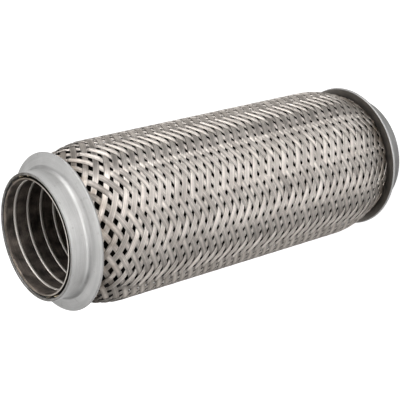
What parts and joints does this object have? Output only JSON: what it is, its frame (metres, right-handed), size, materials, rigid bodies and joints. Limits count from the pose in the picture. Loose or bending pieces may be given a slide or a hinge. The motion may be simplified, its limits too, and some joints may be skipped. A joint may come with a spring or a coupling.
{
  "type": "exhaust flex pipe",
  "caption": "Straight exhaust flex pipe: convoluted steel bellows over a wound liner, in a braided wire sleeve, with a pressed flanged collar at each end.",
  "frame": {"origin": "centre of the outlet mouth, on the plane that the pipe stands on", "axes": "+Z along the pipe's axis, from the outlet mouth to the inlet mouth; X and Y across it"},
  "size_m": [0.074, 0.074, 0.2],
  "materials": {
    "collar_steel": "satin, rolled sheet",
    "braid_wire": "bright drawn wire",
    "bellows_steel": "bright annealed sheet",
    "liner_steel": "satin strip with an oil tint"
  },
  "bodies": {
    "root": {"inlet_collar": "collar_steel", "outlet_collar": "collar_steel", "outer_braid": "braid_wire", "bellows": "bellows_steel", "interlock_liner": "liner_steel"}
  },
  "joints": []
}
